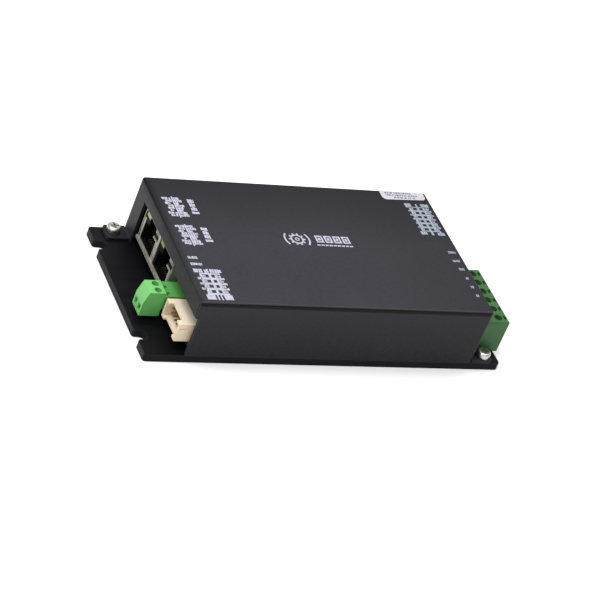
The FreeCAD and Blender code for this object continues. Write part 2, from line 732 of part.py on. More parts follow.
def contact_strip(clamp, reach, step, tip, strip_top, thickness, y, width):
    """Bar from the clamp to the nose, stepped up between them."""
    nose_under = strip_top - thickness
    low = clamp.tongue_under
    high = low + thickness
    side = 1 if tip > reach else -1
    a = step
    b = step + side * thickness
    outline = [(reach, low), (b, low), (b, nose_under), (tip, nose_under),
               (tip, nose_under + thickness), (a, nose_under + thickness), (a, high),
               (reach, high)]
    return prism_y(outline, y - width / 2, y + width / 2)


def control_contacts():
    strips = []
    for way in (0, 1):
        strips.append(contact_strip(CONTROL_CLAMP, CTRL_SCREW_X - 1.9, CTRL_SCREW_X + 2.4,
                                    CTRL_NOSE_TIP - 0.8, CTRL_STRIP_TOP, CTRL_STRIP,
                                    control_y(way), 1.2))
    return strips


def power_plug_body():
    body = box(POWER_PLUG_BACK, POWER_PLUG_FRONT, POWER_PLUG_Y0, POWER_PLUG_Y1,
               POWER_PLUG_BOTTOM, POWER_PLUG_TOP)
    outer = edges_along(body, V(0, 1, 0),
                        lambda point: point.x > POWER_PLUG_FRONT - 0.1 and point.z > POWER_PLUG_TOP - 1)
    body = body.makeChamfer(0.4, outer)
    nose = box(POWER_NOSE_TIP, POWER_PLUG_BACK + 0.5, POWER_PLUG_Y0 + POWER_NOSE_INSET,
               POWER_PLUG_Y1 - POWER_NOSE_INSET, POWER_NOSE_BOTTOM, POWER_NOSE_TOP)
    body = body.fuse(nose)
    pin_low = POWER_PIN_Z - POWER_PIN / 2 - 0.3
    for way in range(POWER_WAYS):
        y = power_y(way)
        half = MARKER_SLOT_WIDTH / 2
        body = body.cut(clamp_room(POWER_CLAMP, y, POWER_PLUG_FRONT, POWER_PLUG_TOP))
        body = body.cut(box(POWER_NOSE_TIP - 1, POWER_SCREW_X, y - 0.85, y + 0.85, pin_low,
                            POWER_STRIP_TOP))
        body = body.cut(box(POWER_SCREW_X - 6.6, POWER_SCREW_X + 2.3, y - 0.85, y + 0.85,
                            POWER_CLAMP.tongue_under, POWER_STRIP_TOP))
        body = body.cut(box(MARKER_SLOT_X0, MARKER_SLOT_X1, y - half, y + half,
                            POWER_PLUG_TOP - MARKER_SLOT_DEPTH, POWER_PLUG_TOP + 1))
    return body.removeSplitter()


def power_contacts():
    strips = []
    for way in range(POWER_WAYS):
        strips.append(contact_strip(POWER_CLAMP, POWER_SCREW_X + 2.1, POWER_SCREW_X - 5.0,
                                    POWER_NOSE_TIP + 1.0, POWER_STRIP_TOP, POWER_STRIP,
                                    power_y(way), 1.5))
    return strips


def power_header():
    y0 = POWER_PLUG_Y0 - POWER_HEADER_MARGIN
    y1 = POWER_PLUG_Y1 + POWER_HEADER_MARGIN
    body = box(POWER_HEADER_BACK, POWER_HEADER_FRONT, y0, y1, BOARD_TOP, POWER_HEADER_TOP)
    body = body.cut(box(POWER_HEADER_BACK + 1.4, POWER_HEADER_FRONT + 1, y0 + 0.7, y1 - 0.7,
                        BOARD_TOP + 1.0, POWER_HEADER_TOP - 1.0))
    half = POWER_PIN / 2
    for way in range(POWER_WAYS):
        y = power_y(way)
        body = body.cut(box(POWER_HEADER_BACK - 1, POWER_HEADER_BACK + 3, y - half, y + half,
                            POWER_PIN_Z - half, POWER_PIN_Z + half))
    return body


def power_header_pins():
    half = POWER_PIN / 2
    pins = []
    for way in range(POWER_WAYS):
        y = power_y(way)
        level = box(POWER_HEADER_BACK - POWER_PIN, POWER_HEADER_FRONT - 1.6, y - half, y + half,
                    POWER_PIN_Z - half, POWER_PIN_Z + half)
        tail = box(POWER_HEADER_BACK - POWER_PIN, POWER_HEADER_BACK, y - half, y + half,
                   PIN_TAIL_END, POWER_PIN_Z + half)
        pins.append(level.fuse(tail).removeSplitter())
    return pins


def block_on_board(place, size):
    x, y = place
    length, width, height = size
    return box(x - length / 2, x + length / 2, y - width / 2, y + width / 2, BOARD_TOP,
               BOARD_TOP + height)


def thermal_pad():
    margin = 5.0
    x0 = min(TRANSISTOR_COLUMNS) - margin
    x1 = max(TRANSISTOR_COLUMNS) + margin
    y0 = min(TRANSISTOR_ROWS) - margin
    y1 = max(TRANSISTOR_ROWS) + margin
    return box(x0, x1, y0, y1, PLATE_THICKNESS, PLATE_THICKNESS + PAD_THICKNESS)


def bridge_transistors():
    length, width, height = TRANSISTOR_SIZE
    packages = []
    for x in TRANSISTOR_COLUMNS:
        for y in TRANSISTOR_ROWS:
            packages.append(box(x - length / 2, x + length / 2, y - width / 2, y + width / 2,
                                BOARD_BOTTOM - height, BOARD_BOTTOM))
    return packages


def bulk_capacitors():
    cans = []
    for x, y in CAPACITOR_PLACES:
        can = rod(CAPACITOR_RADIUS, x, y, BOARD_TOP, BOARD_TOP + CAPACITOR_HEIGHT)
        top = BOARD_TOP + CAPACITOR_HEIGHT
        rim = [e for e in can.Edges if abs(e.CenterOfMass.z - top) < 1e-6]
        can = can.makeFillet(0.6, rim)
        can = can.cut(cross_recess(x, y, top, 8.0, 0.5, 0.25))
        cans.append(can)
    return cans


def power_inductor():
    coil = block_on_board(INDUCTOR_PLACE, (10.0, 10.0, 5.0))
    corners = edges_along(coil, V(0, 0, 1), lambda point: True)
    return coil.makeChamfer(1.2, corners)


def controller_chip():
    chip = block_on_board(CHIP_PLACE, (12.0, 12.0, 1.4))
    top = BOARD_TOP + 1.4
    return chip.cut(rod(0.5, CHIP_PLACE[0] - 4.8, CHIP_PLACE[1] + 4.8, top - 0.15, top + 1))


def line_driver_chips():
    return [block_on_board(place, (5.0, 4.0, 1.5)) for place in DRIVER_PLACES]


def sense_resistors():
    return [block_on_board(place, (6.3, 3.2, 0.6)) for place in RESISTOR_PLACES]


def seal_label():
    """Thin label folded over the cover's back edge."""
    t = LABEL_THICKNESS
    half = COVER_HALF_WIDTH
    bend_y = half - BEND_RADIUS
    bend_z = COVER_TOP - BEND_RADIUS
    outline = [(LABEL_X0, bend_y), (LABEL_X0, LABEL_Y0), (LABEL_X1, LABEL_Y0 + LABEL_SKEW),
               (LABEL_X1, bend_y), (LABEL_X0, bend_y)]
    face = Part.Face(Part.makePolygon([V(x, y, COVER_TOP) for x, y in outline]))
    top = face.extrude(V(0, 0, t))
    front = edges_along(top, V(0, 0, 1), lambda point: point.y < bend_y - 1)
    top = top.makeFillet(LABEL_CORNER, front)
    back = box(LABEL_X0, LABEL_X1, half, half + t, bend_z - LABEL_DROP, bend_z)
    low = edges_along(back, V(0, 1, 0), lambda point: point.z < bend_z - LABEL_DROP + 1e-6)
    back = back.makeFillet(LABEL_CORNER, low)
    axis = V(1, 0, 0)
    start = V(LABEL_X0, bend_y, bend_z)
    length = LABEL_X1 - LABEL_X0
    bend = Part.makeCylinder(BEND_RADIUS + t, length, start, axis)
    bend = bend.cut(Part.makeCylinder(BEND_RADIUS, length, start, axis))
    bend = bend.common(box(LABEL_X0, LABEL_X1, bend_y, half + 1, bend_z, COVER_TOP + 1))
    return top.fuse([bend, back]).removeSplitter()


def build():
    os.makedirs("parts", exist_ok=True)
    export("base_plate", [base_plate()])
    export("cover", [cover()])
    export("cover_washers", cover_washers())
    export("cover_screws", cover_screws())
    export("board_spacers", board_spacers())
    export("board_screws", board_screws())
    export("circuit_board", [circuit_board()])
    export("thermal_pad", [thermal_pad()])
    export("bridge_transistors", bridge_transistors())
    export("bulk_capacitors", bulk_capacitors())
    export("power_inductor", [power_inductor()])
    export("controller_chip", [controller_chip()])
    export("line_driver_chips", line_driver_chips())
    export("sense_resistors", sense_resistors())
    export("rj45_shield", [rj45_shield()])
    export("rj45_housing", rj45_housing())
    export("rj45_link_leds", rj45_leds(1))
    export("rj45_status_leds", rj45_leds(-1))
    export("rj45_contacts", rj45_contacts())
    export("io_header", [signal_header(-1, IO_Y, IO_COLUMNS, IO_WIDTH)])
    export("io_header_pins", signal_pins(-1, IO_Y, IO_COLUMNS))
    export("motor_header", [signal_header(1, MOTOR_Y, MOTOR_COLUMNS, MOTOR_WIDTH)])
    export("motor_header_pins", signal_pins(1, MOTOR_Y, MOTOR_COLUMNS))
    export("control_header", [control_header()])
    export("control_header_pins", control_header_pins())
    export("control_plug_body", [control_plug_body()])
    export("control_contacts", control_contacts())
    for way in (0, 1):
        export("control_screw_%d" % (way + 1), [clamp_screw(CONTROL_CLAMP, control_y(way))])
        export("control_cage_%d" % (way + 1), [clamp_cage(CONTROL_CLAMP, control_y(way))])
    export("power_header", [power_header()])
    export("power_header_pins", power_header_pins())
    export("power_plug_body", [power_plug_body()])
    export("power_contacts", power_contacts())
    for way in range(POWER_WAYS):
        export("power_screw_%d" % (way + 1), [clamp_screw(POWER_CLAMP, power_y(way))])
        export("power_cage_%d" % (way + 1), [clamp_cage(POWER_CLAMP, power_y(way))])
    export("seal_label", [seal_label()])


build()
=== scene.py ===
import json
import math
import random

import bmesh
import bpy
from mathutils import Matrix, Vector


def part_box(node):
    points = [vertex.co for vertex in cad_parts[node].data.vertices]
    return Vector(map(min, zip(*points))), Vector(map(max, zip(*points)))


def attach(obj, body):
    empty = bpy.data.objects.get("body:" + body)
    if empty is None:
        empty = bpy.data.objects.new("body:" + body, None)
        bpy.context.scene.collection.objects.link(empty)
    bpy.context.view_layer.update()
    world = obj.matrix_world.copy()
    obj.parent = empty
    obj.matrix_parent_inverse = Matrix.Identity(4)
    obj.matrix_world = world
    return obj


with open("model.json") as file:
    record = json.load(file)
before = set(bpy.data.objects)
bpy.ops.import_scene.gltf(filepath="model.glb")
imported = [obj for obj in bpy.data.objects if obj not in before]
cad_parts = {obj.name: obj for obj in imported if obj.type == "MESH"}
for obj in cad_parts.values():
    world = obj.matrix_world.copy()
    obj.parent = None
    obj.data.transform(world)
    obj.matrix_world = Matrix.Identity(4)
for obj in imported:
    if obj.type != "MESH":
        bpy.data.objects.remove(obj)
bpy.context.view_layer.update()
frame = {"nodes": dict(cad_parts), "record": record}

MM = 0.001
ROOT = "module"


# ---------------------------------------------------------------- materials

class Look:
    """A material in the making: one Principled shader fed by procedural nodes."""

    def __init__(self, name, roughness, metallic=0.0, specular=0.5):
        self.material = bpy.data.materials.new(name)
        self.material.use_nodes = True
        self.nodes = self.material.node_tree.nodes
        self.links = self.material.node_tree.links
        self.nodes.clear()
        self.out = self.nodes.new("ShaderNodeOutputMaterial")
        self.shader = self.nodes.new("ShaderNodeBsdfPrincipled")
        self.links.new(self.shader.outputs["BSDF"], self.out.inputs["Surface"])
        self.shader.inputs["Metallic"].default_value = metallic
        self.shader.inputs["Roughness"].default_value = roughness
        self.shader.inputs["Specular IOR Level"].default_value = specular
        self.coords = self.nodes.new("ShaderNodeTexCoord").outputs["Object"]
        self.normal = None

    def stretched(self, factors, turn=0.0):
        """Object coordinates scaled differently along each axis."""
        mapping = self.nodes.new("ShaderNodeMapping")
        mapping.inputs["Scale"].default_value = factors
        mapping.inputs["Rotation"].default_value = (0.0, 0.0, turn)
        self.links.new(self.coords, mapping.inputs["Vector"])
        return mapping.outputs["Vector"]

    def noise(self, size, detail=3.0, roughness=0.5, vector=None, distortion=0.0):
        """Noise whose features are about size metres across."""
        node = self.nodes.new("ShaderNodeTexNoise")
        node.inputs["Scale"].default_value = 1.0 / size
        node.inputs["Detail"].default_value = detail
        node.inputs["Roughness"].default_value = roughness
        node.inputs["Distortion"].default_value = distortion
        self.links.new(vector or self.coords, node.inputs["Vector"])
        return node.outputs["Fac"]

    def level(self, value, low, high, to_low=0.0, to_high=1.0):
        node = self.nodes.new("ShaderNodeMapRange")
        node.inputs["From Min"].default_value = low
        node.inputs["From Max"].default_value = high
        node.inputs["To Min"].default_value = to_low
        node.inputs["To Max"].default_value = to_high
        self.links.new(value, node.inputs["Value"])
        return node.outputs["Result"]

    def axis(self, vector, index):
        node = self.nodes.new("ShaderNodeSeparateXYZ")
        self.links.new(vector, node.inputs["Vector"])
        return node.outputs[index]

    def maths(self, operation, first, second=None):
        node = self.nodes.new("ShaderNodeMath")
        node.operation = operation
        for socket, value in zip(node.inputs, (first, second)):
            if isinstance(value, float):
                socket.default_value = value
            elif value is not None:
                self.links.new(value, socket)
        return node.outputs["Value"]

    def facing(self, index):
        """Factor that is 1 on surfaces square to one axis, whichever way they look."""
        geometry = self.nodes.new("ShaderNodeNewGeometry")
        part = self.axis(geometry.outputs["True Normal"], index)
        return self.level(self.maths("ABSOLUTE", part), 0.6, 0.9)

    def along_line(self, index, across, z, near, far):
        """Factor that falls from 1 to 0 between two distances from a level line.

        index: the axis square to the line, 0 or 1; across and z: where the line lies.
        """
        aside = self.maths("SUBTRACT", self.axis(self.coords, index), across)
        above = self.maths("SUBTRACT", self.axis(self.coords, 2), z)
        square = self.maths("ADD", self.maths("MULTIPLY", aside, aside),
                            self.maths("MULTIPLY", above, above))
        return self.level(self.maths("SQRT", square), far, near)

    def blend(self, amount, first, second):
        """Mixes two colours, each a tuple or another node's output."""
        node = self.nodes.new("ShaderNodeMix")
        node.data_type = "RGBA"
        self.links.new(amount, node.inputs["Factor"])
        for socket, value in ((node.inputs[6], first), (node.inputs[7], second)):
            if isinstance(value, tuple):
                socket.default_value = (*value, 1.0)
            else:
                self.links.new(value, socket)
        return node.outputs[2]

    def colour(self, output):
        self.links.new(output, self.shader.inputs["Base Color"])

    def rough(self, value, low, high):
        self.links.new(self.level(value, 0.3, 0.7, low, high), self.shader.inputs["Roughness"])

    def relief(self, height, depth, strength=1.0):
        """Adds bump of that depth in metres, over any bump already there."""
        node = self.nodes.new("ShaderNodeBump")
        node.inputs["Strength"].default_value = strength
        node.inputs["Distance"].default_value = depth
        self.links.new(height, node.inputs["Height"])
        if self.normal is not None:
            self.links.new(self.normal, node.inputs["Normal"])
        self.normal = node.outputs["Normal"]
        self.links.new(self.normal, self.shader.inputs["Normal"])

    def sharp_edge_factor(self, radius, low=0.02, high=0.12):
        """Factor that is 1 along sharp edges, from the rounded normal's swing."""
        bevel = self.nodes.new("ShaderNodeBevel")
        bevel.inputs["Radius"].default_value = radius
        geometry = self.nodes.new("ShaderNodeNewGeometry")
        dot = self.nodes.new("ShaderNodeVectorMath")
        dot.operation = "DOT_PRODUCT"
        self.links.new(bevel.outputs["Normal"], dot.inputs[0])
        self.links.new(geometry.outputs["Normal"], dot.inputs[1])
        return self.level(dot.outputs["Value"], 1.0 - low, 1.0 - high)


LEFT_WALL = -0.0578     # outside face of the cover's left end wall, which its box hides behind an ear


def coated_steel():
    """Fine-textured black powder coat, with painted shade on the walls, towards the back and the right end
    and along the top bends, and painted highlights on the edges and the front top bend.
    """
    look = Look("cover_black", 0.5, specular=0.12)
    low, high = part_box("cover")
    along, across, up = (look.axis(look.coords, i) for i in range(3))
    broad = look.noise(0.030, detail=4.0, roughness=0.6)
    mottle = look.noise(0.0016, detail=3.0)
    grain = look.noise(0.00045, detail=2.0)
    tone = look.blend(look.level(broad, 0.3, 0.7), (0.0203, 0.0193, 0.0240), (0.0243, 0.0233, 0.0286))
    tone = look.blend(look.level(mottle, 0.35, 0.65, 0.0, 0.35), tone, (0.0318, 0.0306, 0.0368))
    tone = look.blend(look.level(grain, 0.56, 0.74), tone, (0.0328, 0.0316, 0.0378))
    # Painted shade: the top is darker towards the back and towards the right end.
    tone = look.blend(look.level(across, 0.002, 0.034, 0.0, 0.8), tone, (0.0080, 0.0074, 0.0096))
    tone = look.blend(look.level(along, 0.005, 0.055, 0.0, 0.35), tone, (0.0080, 0.0074, 0.0096))
    # Painted shade: the front and back walls are darker than the top and deepen towards the bottom, with a
    # faint random mottle.
    shaded_walls = look.blend(look.level(up, 0.002, high[2] - 0.003), (0.0074, 0.0068, 0.0092),
                      (0.0192, 0.0182, 0.0222))
    shaded_walls = look.blend(look.level(mottle, 0.35, 0.65, 0.0, 0.25), shaded_walls, (0.023, 0.0225, 0.026))
    # Painted shade: the end walls darken towards their top edge.
    end = look.blend(look.level(up, 0.0205, 0.0262, 0.0, 0.5), (0.0260, 0.0260, 0.0265),
                     (0.0120, 0.0116, 0.0130))
    tone = look.blend(look.facing(1), tone, shaded_walls)
    tone = look.blend(look.facing(0), tone, end)
    # Painted highlight: the cover's sharp edges are lighter.
    tone = look.blend(look.sharp_edge_factor(0.0003), tone, (0.0250, 0.0245, 0.0280))
    # Painted shade: a dark band along the left end's top bend, strongest towards the back.
    end_bend_shade = look.along_line(0, LEFT_WALL, high[2], 0.0003, 0.0030)
    back = look.level(across, -0.026, 0.024, 0.3, 0.95)
    tone = look.blend(look.maths("MULTIPLY", end_bend_shade, back), tone, (0.0012, 0.0012, 0.0018))
    # Painted highlight: a light line on the front top bend.
    tone = look.blend(look.along_line(1, low[1] + 0.0003, high[2], 0.0004, 0.0009), tone,
                      (0.031, 0.0305, 0.035))
    # Painted shade: a dark band on the front wall just below its top bend.
    look.colour(look.blend(look.along_line(1, low[1], high[2] - 0.0009, 0.0005, 0.0010), tone,
                           (0.0004, 0.0004, 0.0008)))
    look.rough(grain, 0.42, 0.58)
    look.relief(grain, 0.00004, 0.55)
    look.relief(mottle, 0.00006, 0.3)
    return look.material


def anodised_plate():
    """Black anodised aluminium with a faint rolled grain, and painted highlights on its edges."""
    look = Look("plate_black", 0.42, specular=0.08)
    rolled = look.noise(0.0012, detail=3.0, vector=look.stretched((0.06, 1.0, 1.0)))
    grain = look.noise(0.0003, detail=2.0)
    tone = look.blend(look.level(rolled, 0.3, 0.7), (0.0024, 0.0024, 0.0030), (0.0046, 0.0045, 0.0056))
    # Painted highlight: the plate's sharp edges are lighter.
    look.colour(look.blend(look.sharp_edge_factor(0.0003), tone, (0.022, 0.022, 0.026)))
    look.rough(rolled, 0.36, 0.50)
    look.relief(grain, 0.00002, 0.35)
    return look.material


def plated(name, light, dark, roughness, grain_size=0.0002, metallic=1.0):
    """Plated metal with fine rubbed scratches and dull patches."""
    look = Look(name, roughness, metallic=metallic)
    patches = look.noise(0.0025, detail=3.0)
    rubbed = look.noise(grain_size, detail=2.0, vector=look.stretched((1.0, 0.15, 1.0), 0.4))
    look.colour(look.blend(look.level(patches, 0.35, 0.68), light, dark))
    look.rough(rubbed, roughness * 0.75, roughness * 1.35)
    look.relief(rubbed, 0.000008, 0.5)
    return look.material


def moulded(name, base, shade, roughness=0.42, grain=0.00035, depth=0.00001, specular=0.5,
            top_light=(1.0, 1.0, 1.0)):
    """Moulded plastic: slow tint changes, a fine spark-eroded skin, paler edges, and painted light on level
    faces.

    top_light: how much each colour channel gains on level faces, as painted light on the tops.
    """
    look = Look(name, roughness, specular=specular)
    flow = look.noise(0.006, detail=3.0, distortion=0.6)
    skin = look.noise(grain, detail=2.0)
    tone = look.blend(look.level(flow, 0.3, 0.7), base, shade)
    # Painted light: level faces get a lighter copy of the tint.
    lit_top_tone = look.blend(look.level(flow, 0.3, 0.7), tuple(c * k for c, k in zip(base, top_light)),
                            tuple(c * k for c, k in zip(shade, top_light)))
    tone = look.blend(look.facing(2), tone, lit_top_tone)
    pale = tuple(min(1.0, c * 1.35 + 0.01) for c in base)
    look.colour(look.blend(look.sharp_edge_factor(0.00015), tone, pale))
    look.rough(skin, roughness * 0.85, roughness * 1.2)
    look.relief(skin, depth, 0.5)
    look.relief(flow, 0.00005, 0.25)
    return look.material


def lamp_lens(name, base, shade):
    look = Look(name, 0.18, specular=0.5)
    flow = look.noise(0.0012, detail=2.0)
    look.colour(look.blend(look.level(flow, 0.3, 0.7), base, shade))
    look.rough(flow, 0.14, 0.26)
    look.relief(look.noise(0.0004), 0.00002, 0.4)
    return look.material


def vinyl(name, base, shade):
    look = Look(name, 0.45, specular=0.4)
    creases = look.noise(0.0035, detail=4.0, distortion=1.2)
    fibre = look.noise(0.0003, detail=2.0)
    look.colour(look.blend(look.level(creases, 0.3, 0.7), base, shade))
    look.rough(fibre, 0.38, 0.55)
    look.relief(creases, 0.00006, 0.35)
    look.relief(fibre, 0.00001, 0.4)
    return look.material


def silkscreen(name, base, shade):
    """Printed ink: uneven cover with pinholes."""
    look = Look(name, 0.6, specular=0.3)
    cover = look.noise(0.00025, detail=3.0)
    patches = look.noise(0.0011, detail=2.0)
    thin = tuple(c * 0.72 for c in base)
    tone = look.blend(look.level(patches, 0.38, 0.62), base, thin)
    look.colour(look.blend(look.level(cover, 0.55, 0.75), tone, shade))
    look.rough(cover, 0.52, 0.7)
    look.relief(cover, 0.00001, 0.5)
    return look.material


def solder_mask():
    """Board lacquer with buried tracks showing as a faint relief."""
    look = Look("board_black", 0.3, specular=0.5)
    wander = look.noise(0.004, detail=1.0)
    tracks = look.nodes.new("ShaderNodeTexWave")
    tracks.wave_type = "BANDS"
    tracks.bands_direction = "Y"
    tracks.inputs["Scale"].default_value = 120.0
    tracks.inputs["Distortion"].default_value = 3.0
    tracks.inputs["Detail"].default_value = 0.0
    look.links.new(look.coords, tracks.inputs["Vector"])
    lines = look.level(tracks.outputs["Fac"], 0.62, 0.7)
    tone = look.blend(lines, (0.008, 0.012, 0.010), (0.018, 0.026, 0.021))
    look.colour(look.blend(look.level(wander, 0.6, 0.8), tone, (0.012, 0.018, 0.015)))
    look.rough(wander, 0.25, 0.36)
    look.relief(lines, 0.00003, 0.6)
    return look.material


MATERIALS = {
    "cover_black": coated_steel(),
    "plate_black": anodised_plate(),
    "screw_nickel": plated("screw_nickel", (0.66, 0.63, 0.57), (0.50, 0.48, 0.44), 0.28),
    "cage_nickel": plated("cage_nickel", (0.55, 0.54, 0.50), (0.42, 0.41, 0.38), 0.34),
    "shield_nickel": plated("shield_nickel", (0.52, 0.50, 0.43), (0.40, 0.38, 0.32), 0.42, metallic=0.7),
    "pin_tin": plated("pin_tin", (0.62, 0.61, 0.58), (0.50, 0.49, 0.46), 0.30),
    "contact_gold": plated("contact_gold", (0.52, 0.40, 0.16), (0.40, 0.30, 0.12), 0.32),
    "capacitor_can": plated("capacitor_can", (0.60, 0.60, 0.61), (0.50, 0.50, 0.51), 0.35),
    "jack_black": moulded("jack_black", (0.002, 0.002, 0.002), (0.004, 0.004, 0.004), 0.5, specular=0.08),
    "chip_black": moulded("chip_black", (0.016, 0.016, 0.017), (0.024, 0.024, 0.025), 0.6, 0.00015),
    "ferrite": moulded("ferrite", (0.060, 0.060, 0.062), (0.045, 0.045, 0.047), 0.7, 0.0003),
    "pad_grey": moulded("pad_grey", (0.30, 0.36, 0.42), (0.26, 0.32, 0.38), 0.8, 0.0005),
    # The cream and light green plastics get painted light on their tops.
    "header_cream": moulded("header_cream", (0.71, 0.58, 0.41), (0.66, 0.53, 0.36), 0.45,
                            top_light=(1.04, 1.10, 1.24)),
    "plug_green": moulded("plug_green", (0.118, 0.415, 0.102), (0.098, 0.365, 0.084),
                          top_light=(1.20, 1.11, 1.12)),
    # A darker copy of plug_green: painted shade for the control header inside the cover's opening.
    "plug_green_shaded": moulded("plug_green_shaded", (0.089, 0.328, 0.075), (0.074, 0.288, 0.062)),
    "block_green": moulded("block_green", (0.034, 0.115, 0.030), (0.027, 0.096, 0.024), 0.42, specular=0.25),
    "led_amber": lamp_lens("led_amber", (0.26, 0.23, 0.06), (0.34, 0.30, 0.09)),
    "led_clear": lamp_lens("led_clear", (0.20, 0.21, 0.18), (0.27, 0.28, 0.24)),
    "label_white": vinyl("label_white", (0.48, 0.48, 0.50), (0.36, 0.37, 0.39)),
    "board_black": solder_mask(),
}
INK_WHITE = silkscreen("ink_white", (0.42, 0.42, 0.50), (0.25, 0.25, 0.31))
INK_PALE = silkscreen("ink_pale", (0.28, 0.32, 0.37), (0.15, 0.18, 0.22))
INK_GREY = silkscreen("ink_grey", (0.12, 0.12, 0.16), (0.18, 0.18, 0.22))


# The control header gets the darker copy of its green, as painted shade.
SHADED_COPIES = {"control_header": "plug_green_shaded"}


def dress_nodes():
    """Gives every CAD node the material of its slot, or a darker copy of it that paints the shade falling on
    that node.
    """
    for part in frame["record"]["subparts"]:
        node = frame["nodes"][part["node"]]
        material = MATERIALS[SHADED_COPIES.get(part["node"], part["material_slot"])]
        node.data.materials.clear()
        node.data.materials.append(material)
        for face in node.data.polygons:
            face.material_index = 0


EDGE_WIDTHS = {
    "base_plate": 0.35,
    "cover": 0.1,
    "cover_screws": 0.12,
    "cover_washers": 0.08,
    "rj45_shield": 0.08,
    "rj45_housing": 0.12,
    "rj45_link_leds": 0.15,
    "rj45_status_leds": 0.15,
    "io_header": 0.18,
    "motor_header": 0.18,
    "control_header": 0.18,
    "control_plug_body": 0.22,
    "power_header": 0.2,
    "power_plug_body": 0.22,
    "circuit_board": 0.08,
}


def soften_edges():
    """Small rounded edges on moulded and cut parts, so that they catch the light."""
    for name, node in frame["nodes"].items():
        width = EDGE_WIDTHS.get(name)
        if name.startswith(("power_screw", "control_screw")):
            width = 0.08
        if width is None:
            continue
        bevel = node.modifiers.new("edges", "BEVEL")
        bevel.width = width * MM
        bevel.segments = 2
        bevel.limit_method = "ANGLE"
        bevel.angle_limit = math.radians(35)
        bevel.use_clamp_overlap = True
        bevel.harden_normals = True


# ---------------------------------------------------------------- mesh tools

def finish_mesh(name, mesh, material, body):
    bmesh.ops.recalc_face_normals(mesh, faces=mesh.faces)
    data = bpy.data.meshes.new(name)
    mesh.to_mesh(data)
    mesh.free()
    piece = bpy.data.objects.new(name, data)
    bpy.context.scene.collection.objects.link(piece)
    piece.data.materials.append(material)
    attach(piece, body)
    return piece


def add_prism(mesh, outline, z0, z1):
    """Closed upright prism over a flat outline given in millimetres."""
    low = [mesh.verts.new((x * MM, y * MM, z0 * MM)) for x, y in outline]
    high = [mesh.verts.new((x * MM, y * MM, z1 * MM)) for x, y in outline]
    mesh.faces.new(list(reversed(low)))
    mesh.faces.new(high)
    count = len(outline)
    for i in range(count):
        j = (i + 1) % count
        mesh.faces.new((low[i], low[j], high[j], high[i]))


def add_bar(mesh, x0, x1, y0, y1, z0, z1):
    add_prism(mesh, [(x0, y0), (x1, y0), (x1, y1), (x0, y1)], z0, z1)


def add_ring(mesh, x, y, inner, outer, z0, z1, steps=48):
    """Flat ring with upright walls."""
    rings = []
    for radius, z in ((inner, z0), (outer, z0), (outer, z1), (inner, z1)):
        ring = []
        for i in range(steps):
            angle = 2 * math.pi * i / steps
            ring.append(mesh.verts.new(((x + radius * math.cos(angle)) * MM,
                                        (y + radius * math.sin(angle)) * MM, z * MM)))
        rings.append(ring)
    for k in range(4):
        here = rings[k]
        there = rings[(k + 1) % 4]
        for i in range(steps):
            j = (i + 1) % steps
            mesh.faces.new((here[i], here[j], there[j], there[i]))


# ---------------------------------------------------------------- printing

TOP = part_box("cover")[1][2] / MM
INK = 0.03              # thickness of the printed ink, mm
PRINT_X = -0.44         # place of the whole print on the cover, mm
PRINT_Y = -0.62


def stamp(mesh, x0, x1, y0, y1):
    """One printed block, placed on the print's own grid."""
    add_bar(mesh, x0 + PRINT_X, x1 + PRINT_X, y0 + PRINT_Y, y1 + PRINT_Y, TOP, TOP + INK)


def add_word(mesh, x0, x1, y, height, chance, gap=0.16, widths=(0.35, 0.5, 0.7)):
    """A run of short blocks standing for one printed word."""
    x = x0
    while x < x1 - 0.25:
        width = min(chance.choice(widths), x1 - x)
        rise = chance.choice((1.0, 1.0, 0.8)) * height
        base = y - height / 2 + chance.choice((0.0, 0.5)) * (height - rise)
        stamp(mesh, x, x + width, base, base + rise)
        x += width + gap


def pinout(lines, cell, rows, words, seed):
    """Two columns of open cells in a band of print, with words out past it between the rows.

    lines: edges of the three upright bands; cell: first row, pitch and cell height;
    words: outer ends of the words on the left and right.
    """
    mesh = bmesh.new()
    chance = random.Random(seed)
    y_first, pitch, tall = cell
    (a0, a1), (b0, b1), (c0, c1) = lines
    for row in range(rows):
        y = y_first - pitch * row
        low, high = y - tall / 2 + 0.001, y + tall / 2 - 0.001
        stamp(mesh, a0, a0 + 0.9, low, high)
        add_word(mesh, a0 + 1.05, a1, y, tall - 0.3, chance, 0.14)
        stamp(mesh, b0, b1, low, high)
        stamp(mesh, c0, c0 + 0.9, low, high)
        add_word(mesh, c0 + 1.05, c1, y, tall - 0.3, chance, 0.14)
    for row in range(rows - 1):
        y = y_first - pitch * (row + 0.5)
        bar = pitch - tall
        add_word(mesh, words[0] + chance.uniform(0.0, 0.5), a0 + 0.2, y, bar, chance, 0.1)
        stamp(mesh, a0 + 0.3, c0 + 1.4, y - bar / 2, y + bar / 2)
        add_word(mesh, c0 + 1.5, words[1] - chance.uniform(0.0, 0.5), y, bar, chance, 0.1)
    return mesh, chance


def io_pinout_print():
    lines = ((-53.3, -51.2), (-49.9, -48.9), (-47.6, -45.2))
    mesh, chance = pinout(lines, (-19.65, 2.77, 1.6), 4, (-54.8, -43.8), 11)
    for x0, x1 in ((-54.9, -53.2), (-53.0, -51.25), (-50.9, -49.1), (-48.7, -47.0), (-46.8, -44.0)):
        add_word(mesh, x0, x1, -16.9, 2.0, chance, 0.1, (0.7, 0.9, 1.1))
    stamp(mesh, -53.2, -45.3, -18.85, -18.05)
    stamp(mesh, -53.6, -45.0, -29.75, -28.8)
    for x0, x1 in ((-54.4, -51.0), (-47.7, -44.5)):
        stamp(mesh, x0, x1, -32.3, -29.76)
    for x in (-50.35, -49.0):
        stamp(mesh, x, x + 0.55, -32.5, -29.76)
    return finish_mesh("io_pinout_print", mesh, INK_WHITE, ROOT)


